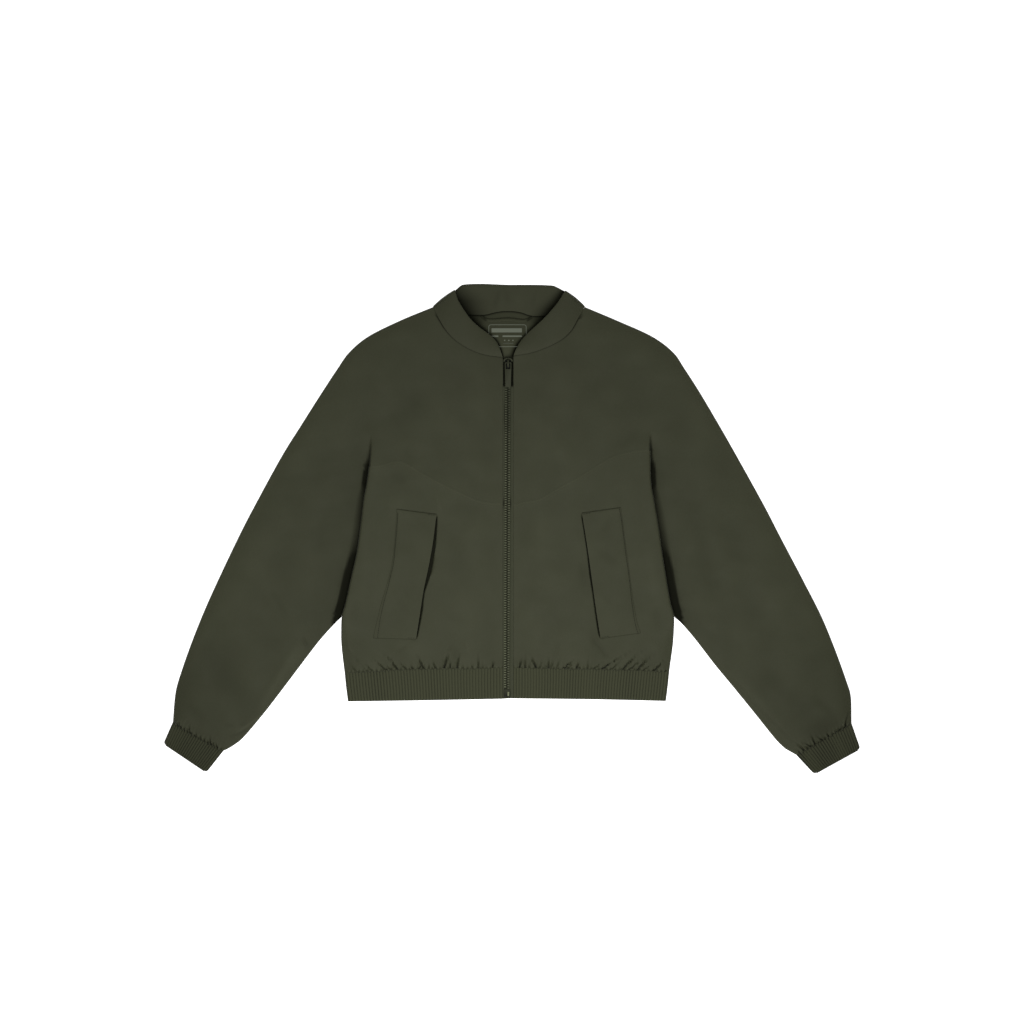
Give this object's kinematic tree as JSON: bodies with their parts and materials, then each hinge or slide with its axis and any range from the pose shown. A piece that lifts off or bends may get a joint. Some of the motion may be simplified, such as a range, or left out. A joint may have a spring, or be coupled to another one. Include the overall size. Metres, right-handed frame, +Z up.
{
  "type": "bomber jacket",
  "caption": "Cropped zip-front bomber jacket with dolman sleeves, welt pockets and ribbed hem and cuffs, laid flat on its back.",
  "frame": {"origin": "on the surface that the jacket lies on, under the zip's centre line, 245 mm above the hem band's lower edge and 250 mm below the neck seam", "axes": "+X to the right as seen from the front, which is the wearer's left sleeve, +Y from the hem towards the collar, +Z up from the surface, out of the fronts"},
  "size_m": [1.011, 0.7115, 0.0116],
  "materials": {
    "shell": "fine plain-woven olive shell cloth with a soft, nearly matt sheen",
    "rib": "matt olive ribbed elastic band",
    "tape": "matt olive woven ribbon",
    "teeth": "dull olive moulded teeth",
    "metal": "dark olive lacquered metal, satin"
  },
  "bodies": {
    "jacket": {"back": "shell", "front_upper_left": "shell", "front_upper_right": "shell", "front_lower_left": "shell", "front_lower_right": "shell", "welt_left": "shell", "welt_right": "shell", "collar": "shell", "hem_band": "rib", "cuff_left": "rib", "cuff_right": "rib", "hanger_loop": "tape", "zip_tape_left": "tape", "zip_tape_right": "tape", "zip_chain": "teeth", "zip_box": "metal", "zip_slider": "metal"},
    "pull": {"zip_pull": "metal"}
  },
  "joints": [
    {"name": "pull_swing", "type": "hinge", "parent": "jacket", "child": "pull", "pos_m": [0, 0.2405, 0.0086], "axis": [-1, 0, 0], "range_deg": [0, 170]}
  ]
}
